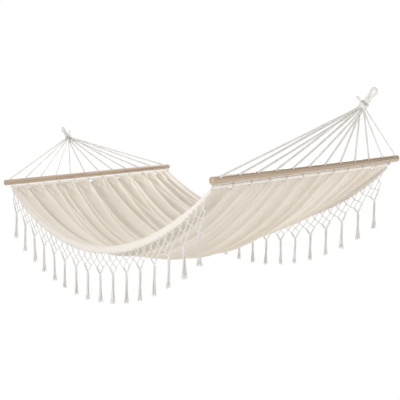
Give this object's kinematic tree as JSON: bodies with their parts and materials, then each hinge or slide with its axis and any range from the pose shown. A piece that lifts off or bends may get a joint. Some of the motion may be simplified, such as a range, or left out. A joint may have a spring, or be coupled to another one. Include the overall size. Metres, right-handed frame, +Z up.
{
  "type": "rope hammock",
  "caption": "Hanging cotton bed held open by a wooden spreader bar and a fan of rope cords at each end, with a knotted net fringe and tassels along both long edges.",
  "frame": {"origin": "middle of the left eye's seat, where the hanging hook passes through", "axes": "+X towards the right eye along the length, +Y across the bed towards its back edge, +Z up"},
  "size_m": [2.5591, 1.2, 0.9219],
  "materials": {
    "bed_cloth": "plain-woven natural cotton canvas, soft and matt",
    "hem_cloth": "doubled natural cotton, stitched flat",
    "harness_cord": "twisted off-white cotton string",
    "eye_rope": "cotton rope served with twine",
    "whipping_twine": "thin cotton twine wound side by side",
    "head_rope": "laid cotton rope",
    "bar_wood": "turned light hardwood, lightly oiled",
    "net_cord": "knotted off-white cotton cord",
    "tassel_yarn": "combed-out cotton yarn ends"
  },
  "bodies": {
    "hung_eyes": {"left_eye": "eye_rope", "left_eye_knot": "eye_rope", "right_eye": "eye_rope", "right_eye_knot": "eye_rope"},
    "left_end": {"left_cord_01": "harness_cord", "left_cord_02": "harness_cord", "left_cord_03": "harness_cord", "left_cord_04": "harness_cord", "left_cord_05": "harness_cord", "left_cord_06": "harness_cord", "left_cord_07": "harness_cord", "left_cord_08": "harness_cord", "left_cord_09": "harness_cord", "left_cord_10": "harness_cord", "left_cord_11": "harness_cord", "left_cord_12": "harness_cord", "left_whipping": "whipping_twine", "left_tie_tail": "whipping_twine", "left_spreader_bar": "bar_wood", "left_head_rope": "head_rope", "left_sleeve": "hem_cloth", "bed_cloth": "bed_cloth", "front_side_hem": "hem_cloth", "front_net": "net_cord", "front_tassel_wraps": "net_cord", "front_tassels": "tassel_yarn", "back_side_hem": "hem_cloth", "back_net": "net_cord", "back_tassel_wraps": "net_cord", "back_tassels": "tassel_yarn"},
    "right_end": {"right_cord_01": "harness_cord", "right_cord_02": "harness_cord", "right_cord_03": "harness_cord", "right_cord_04": "harness_cord", "right_cord_05": "harness_cord", "right_cord_06": "harness_cord", "right_cord_07": "harness_cord", "right_cord_08": "harness_cord", "right_cord_09": "harness_cord", "right_cord_10": "harness_cord", "right_cord_11": "harness_cord", "right_cord_12": "harness_cord", "right_whipping": "whipping_twine", "right_tie_tail": "whipping_twine", "right_spreader_bar": "bar_wood", "right_head_rope": "head_rope", "right_sleeve": "hem_cloth"}
  },
  "joints": [
    {"name": "swing", "type": "hinge", "parent": "hung_eyes", "child": "left_end", "pos_m": [0.03419, 0, -0.03078], "axis": [1, 0, 0], "range_deg": [-30, 30]},
    {"name": "bar_twist", "type": "hinge", "parent": "left_end", "child": "right_end", "pos_m": [2.48786, 0, -0.03078], "axis": [1, 0, 0], "range_deg": [-12, 12]}
  ]
}
